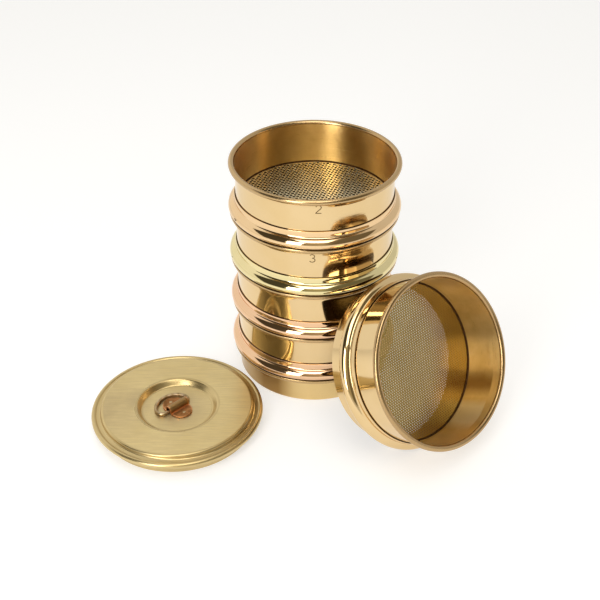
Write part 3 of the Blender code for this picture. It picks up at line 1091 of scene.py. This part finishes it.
FLOOR_HALF = 60.0
FLOOR_GLOW = 0.53

# the tent is lit beside and behind two slanting planes, and all round near the horizon
TENT_WRAP = 0.561  # how far its sides come forward
SIDE_LEAN = 0.867
BACK_LEAN = 0.18
HORIZON = 0.09
TENT_BLUR = 0.03  # half the width of its edge
TENT_WHITE = colour(1, 0.985, 0.95)
ROOM_BROWN = colour(1, 0.88, 0.60)

# ramps of brightness, each as two places and the levels there
TENT_ACROSS = (-0.45, 0.0, 1.0, 0.70)  # from left to right
ROOM_ACROSS = (-0.2, 0.3, 0.07, 0.17)
ROOM_MIDDLE = (0.1, 0.42, 0.34, 0.0)  # from the middle to both sides

# name, place, target, width, height and radiance of the soft lights
LIGHTS = (("overhead", (0.02, 0.0, 1.30), (0.02, 0.0, 0.0), 0.70, 0.60, 0.92),
          ("overhead_front", (0.02, -0.70, 1.30), (0.02, -0.70, 0.0), 0.70, 0.80, 3.0),
          ("window", (-0.624, -1.309, 0.72), (0.0, 0.0, 0.08), 0.50, 1.16, 6.3))


def build_floor():
    """Pale paper that is partly self-lit."""
    mesh = bpy.data.meshes.new("floor")
    corners = [(x * FLOOR_HALF, y * FLOOR_HALF, 0) for x, y in ((-1, -1), (1, -1), (1, 1), (-1, 1))]
    mesh.from_pydata(corners, [], [(0, 1, 2, 3)])
    floor = bpy.data.objects.new("floor", mesh)
    bpy.context.scene.collection.objects.link(floor)
    paper = Tree("floor_paper").finish(Base_Color=colour(0.60, 0.60, 0.60), Roughness=0.9,
                                       Specular_IOR_Level=0.0, Emission_Color=colour(1, 1, 1),
                                       Emission_Strength=FLOOR_GLOW)
    mesh.materials.append(paper)


def build_world():
    """White tent behind and beside the object, open and dark towards the front and above."""
    world = bpy.data.worlds.new("studio")
    bpy.context.scene.world = world
    world.use_nodes = True
    sky = Nodes(world.node_tree)
    direction = sky.nodes.new("ShaderNodeTexCoord").outputs["Generated"]
    split = sky.nodes.new("ShaderNodeSeparateXYZ")
    sky.put(split.inputs[0], direction)
    x, y, z = split.outputs
    side = sky.math("ABSOLUTE", x)
    beside = sky.math("MULTIPLY_ADD", z, -SIDE_LEAN, y)
    beside = sky.math("MULTIPLY_ADD", side, TENT_WRAP, beside)
    behind = sky.math("MULTIPLY_ADD", z, -BACK_LEAN, y)
    low = sky.math("SUBTRACT", HORIZON, z)
    within = sky.math("MAXIMUM", sky.math("MAXIMUM", beside, behind), low)
    lit = sky.span(within, -TENT_BLUR, TENT_BLUR, ramp="SMOOTHSTEP")
    unlit = sky.math("SUBTRACT", 1.0, lit)
    white = sky.span(x, *TENT_ACROSS, "SMOOTHSTEP")
    dark = sky.math("ADD", sky.span(side, *ROOM_MIDDLE, "SMOOTHSTEP"),
                    sky.span(x, *ROOM_ACROSS, "SMOOTHSTEP"))
    level = sky.math("ADD", sky.math("MULTIPLY", white, lit), sky.math("MULTIPLY", dark, unlit))
    background = sky.nodes["Background"]
    sky.put(background.inputs["Strength"], level)
    sky.put(background.inputs["Color"], sky.mix(lit, ROOM_BROWN, TENT_WHITE))


def area_light(name, place, target, width, height, radiance):
    """A soft rectangular light of the given brightness, facing target."""
    data = bpy.data.lights.new(name, "AREA")
    data.shape = "RECTANGLE"
    data.size = width
    data.size_y = height
    data.energy = radiance * pi * width * height
    light = bpy.data.objects.new(name, data)
    light.location = place
    light.rotation_mode = "QUATERNION"
    light.rotation_quaternion = (Vector(target) - Vector(place)).to_track_quat("-Z", "Y")
    bpy.context.scene.collection.objects.link(light)


def build_camera():
    data = bpy.data.cameras.new("camera")
    data.sensor_width = CAMERA_SENSOR
    data.lens = CAMERA_LENS
    data.clip_start = 0.01
    data.clip_end = 200
    camera = bpy.data.objects.new("camera", data)
    camera.location = CAMERA_PLACE
    camera.rotation_euler = (pi / 2 - CAMERA_DOWN, 0, CAMERA_TURN)
    bpy.context.scene.collection.objects.link(camera)
    bpy.context.scene.camera = camera


build_floor()
build_world()
for light in LIGHTS:
    area_light(*light)
build_camera()
bpy.context.scene.view_settings.view_transform = "Standard"
bpy.context.view_layer.update()
